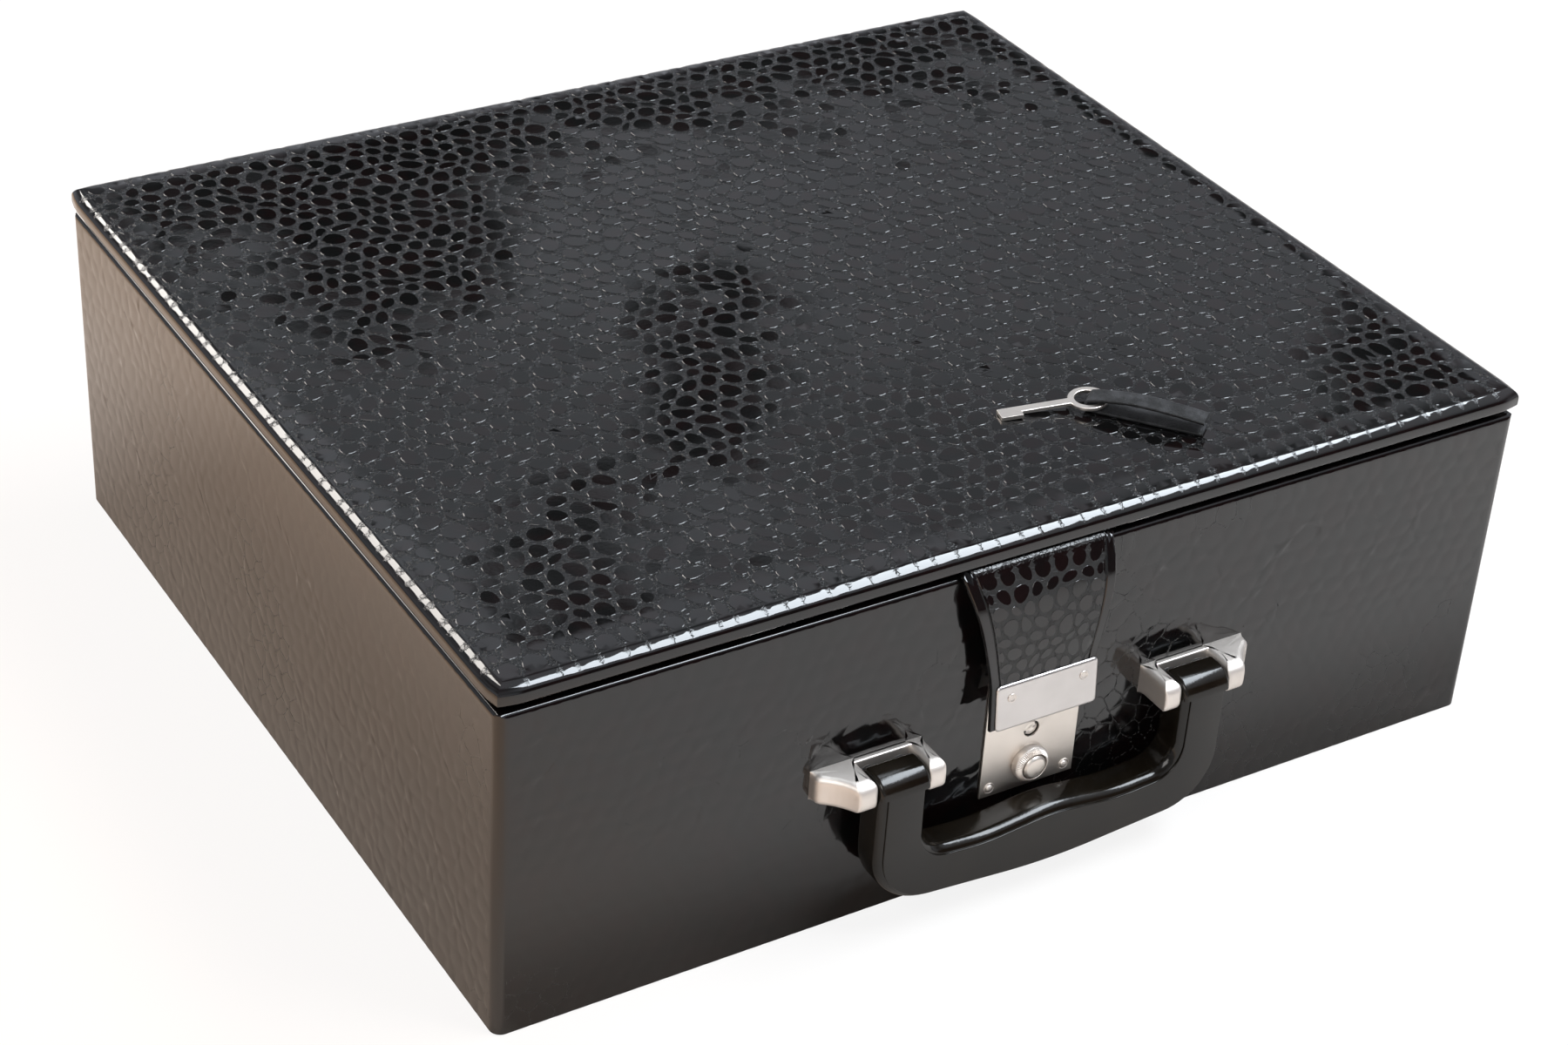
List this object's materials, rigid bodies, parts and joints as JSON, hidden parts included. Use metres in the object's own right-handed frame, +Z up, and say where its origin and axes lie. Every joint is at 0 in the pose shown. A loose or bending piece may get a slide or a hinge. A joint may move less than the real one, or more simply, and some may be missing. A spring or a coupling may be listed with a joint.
{
  "type": "cash box",
  "caption": "Lockable case covered in black embossed leatherette, with a flat hinged lid, a hasp flap, a push-button lock and a swinging handle; its key lies on the lid.",
  "frame": {"origin": "middle of the flat base, on the surface it rests on", "axes": "+X along the width to the right, -Y towards the front with the lock, +Z up"},
  "size_m": [0.352, 0.3326, 0.1267],
  "materials": {
    "leatherette": "gloss black, crocodile embossed",
    "board": "plain board",
    "lining": "short velour",
    "padding": "felt",
    "nickel": "satin nickel plate",
    "steel": "plain steel",
    "handle_cover": "black, smooth"
  },
  "bodies": {
    "box": {"base_covering": "leatherette", "side_covering": "leatherette", "front_board": "board", "back_board": "board", "left_board": "board", "right_board": "board", "bottom_board": "board", "floor_lining": "lining", "lining_front": "lining", "lining_back": "lining", "lining_left": "lining", "lining_right": "lining", "bracket_left": "nickel", "bracket_right": "nickel", "bracket_screws": "steel", "handle_pin_left": "steel", "handle_pin_right": "steel", "lock_plate": "nickel", "lock_case": "steel", "lock_rivets": "nickel", "button_bezel": "nickel", "key_barrel": "steel", "hinge_left_box_leaf": "nickel", "hinge_right_box_leaf": "nickel", "hinge_left_pin": "steel", "hinge_right_pin": "steel", "hinge_box_screws": "steel", "latch_spring": "steel"},
    "lid": {"lid_covering": "leatherette", "lid_board": "board", "lid_padding": "padding", "lid_lining": "lining", "hinge_left_lid_leaf": "nickel", "hinge_right_lid_leaf": "nickel", "hinge_lid_screws": "steel", "flap_anchor": "leatherette", "key": "nickel", "key_fob": "leatherette"},
    "flap": {"flap_face": "leatherette", "flap_backing": "leatherette", "hasp_plate": "nickel", "hasp_catch": "steel", "hasp_rivets": "nickel"},
    "handle": {"handle_back_shell": "handle_cover", "handle_front_shell": "handle_cover", "handle_core": "steel"},
    "button": {"push_button": "nickel"},
    "latch": {"latch": "steel"},
    "key_works": {"key_plug": "steel", "key_lever": "steel"}
  },
  "joints": [
    {"name": "lid_hinge", "type": "hinge", "parent": "box", "child": "lid", "pos_m": [0, 0.1576, 0.1108], "axis": [-1, 0, 0], "range_deg": [0, 95]},
    {"name": "flap_swing", "type": "hinge", "parent": "lid", "child": "flap", "pos_m": [0, -0.1569, 0.1115], "axis": [-1, 0, 0], "range_deg": [-5, 150], "stiffness_Nm_per_rad": 0.05},
    {"name": "handle_swing", "type": "hinge", "parent": "box", "child": "handle", "pos_m": [0, -0.1645, 0.0533], "axis": [-1, 0, 0], "range_deg": [-3, 95]},
    {"name": "button_press", "type": "slide", "parent": "box", "child": "button", "axis": [0, 1, 0], "range_m": [0, 0.002], "stiffness_N_per_m": 400, "springref_m": -0.001},
    {"name": "latch_slide", "type": "slide", "parent": "box", "child": "latch", "axis": [0, 0, -1], "range_m": [0, 0.002], "deforming": ["latch_spring"]},
    {"name": "key_turn", "type": "hinge", "parent": "box", "child": "key_works", "pos_m": [0, -0.154, 0.0492], "axis": [0, -1, 0], "range_deg": [0, 60]}
  ],
  "couplings": [
    {"joint": "latch_slide", "follows": "button_press", "ratio": 1}
  ]
}
